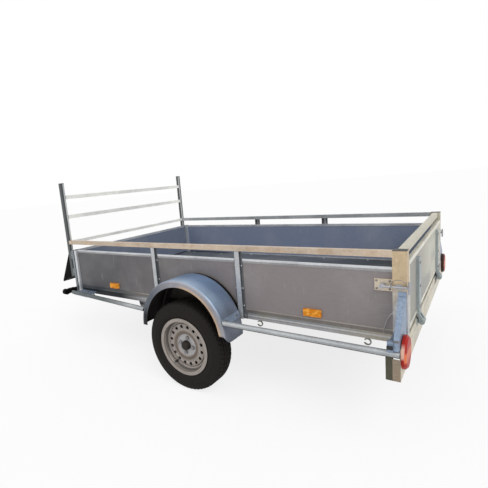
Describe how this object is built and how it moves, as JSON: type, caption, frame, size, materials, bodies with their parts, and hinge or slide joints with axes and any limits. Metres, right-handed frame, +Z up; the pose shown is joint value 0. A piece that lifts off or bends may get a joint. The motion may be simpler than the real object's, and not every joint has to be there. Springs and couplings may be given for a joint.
{
  "type": "utility trailer",
  "caption": "Single-axle drop-tailgate utility trailer: galvanised frame, plywood sides, top rail, headboard, mudguards, stowed wheel chocks and jockey wheel.",
  "frame": {"origin": "centre of the overall box, at ground level", "axes": "+X forwards to the coupling, +Y to the trailer's left side, +Z up"},
  "size_m": [3.645, 1.926, 1.371],
  "materials": {
    "galvanised_steel": "spangled matt zinc",
    "weathered_zinc": "dull zinc sheet",
    "rail_zinc": "zinc tube",
    "edging_zinc": "bright folded zinc sheet",
    "film_plywood": "film-faced plywood",
    "floor_plywood": "non-slip film-faced plywood",
    "black_plastic": "moulded",
    "black_rubber": "matt",
    "tyre_rubber": "matt",
    "wheel_steel": "silver-grey paint",
    "hub_steel": "machined and greased",
    "black_axle": "black paint",
    "lamp_red": "red lens",
    "lamp_amber": "amber lens",
    "blue_zinc": "zinc sheet"
  },
  "bodies": {
    "chassis": {"arm_plugs": "black_plastic", "axle_hangers": "black_axle", "axle_tube": "black_axle", "board_hangers": "galvanised_steel", "chock_holders": "black_plastic", "corner_struts": "blue_zinc", "coupling_handle": "black_plastic", "coupling_head": "galvanised_steel", "cross_arms": "galvanised_steel", "drawbar": "galvanised_steel", "drawbar_clamps": "galvanised_steel", "floor": "floor_plywood", "floor_bearers": "galvanised_steel", "front_cross_beam": "galvanised_steel", "front_edging": "edging_zinc", "front_panel": "film_plywood", "front_posts": "galvanised_steel", "headboard": "galvanised_steel", "headboard_plates": "galvanised_steel", "hinge_brackets": "galvanised_steel", "jockey_clamp": "galvanised_steel", "jockey_crank": "weathered_zinc", "jockey_tube": "galvanised_steel", "lamp_board": "weathered_zinc", "latches": "galvanised_steel", "mudguard_left": "blue_zinc", "mudguard_right": "blue_zinc", "mudguard_stays": "blue_zinc", "position_lamps": "black_rubber", "post_caps": "black_plastic", "rear_cross_beam": "galvanised_steel", "rear_crossbar": "galvanised_steel", "rear_posts": "galvanised_steel", "side_beams": "galvanised_steel", "side_edging": "edging_zinc", "side_markers": "lamp_amber", "side_panel_left": "film_plywood", "side_panel_right": "film_plywood", "side_tubes": "galvanised_steel", "swing_arms": "black_axle", "tail_lamps": "lamp_red", "tie_hooks": "galvanised_steel", "top_rails": "rail_zinc", "tube_brackets": "galvanised_steel", "uprights": "galvanised_steel", "wheel_chocks": "black_plastic"},
    "tailgate": {"tailgate_panel": "film_plywood", "tailgate_edging": "edging_zinc", "tailgate_straps": "galvanised_steel"},
    "wheel_left": {"tyre_left": "tyre_rubber", "rim_left": "wheel_steel", "hub_left": "hub_steel"},
    "wheel_right": {"tyre_right": "tyre_rubber", "rim_right": "wheel_steel", "hub_right": "hub_steel"},
    "jockey_leg": {"jockey_leg": "galvanised_steel"},
    "jockey_fork": {"jockey_fork": "weathered_zinc"},
    "jockey_wheel": {"jockey_wheel": "black_rubber"}
  },
  "joints": [
    {"name": "tailgate_hinge", "type": "hinge", "parent": "chassis", "child": "tailgate", "pos_m": [-1.8095, 0, 0.47], "axis": [0, -1, 0], "range_deg": [0, 180]},
    {"name": "wheel_left_spin", "type": "hinge", "parent": "chassis", "child": "wheel_left", "pos_m": [-0.5825, 0.8675, 0.281], "axis": [0, 1, 0], "continuous": true},
    {"name": "wheel_right_spin", "type": "hinge", "parent": "chassis", "child": "wheel_right", "pos_m": [-0.5825, -0.8675, 0.281], "axis": [0, 1, 0], "continuous": true},
    {"name": "jockey_lift", "type": "slide", "parent": "chassis", "child": "jockey_leg", "axis": [0, 0, 1], "range_m": [-0.05, 0.15]},
    {"name": "jockey_swivel", "type": "hinge", "parent": "jockey_leg", "child": "jockey_fork", "pos_m": [0.8175, -0.081, 0.222], "axis": [0, 0, 1], "continuous": true},
    {"name": "jockey_spin", "type": "hinge", "parent": "jockey_fork", "child": "jockey_wheel", "pos_m": [0.7725, -0.081, 0.1], "axis": [0, 1, 0], "continuous": true}
  ]
}
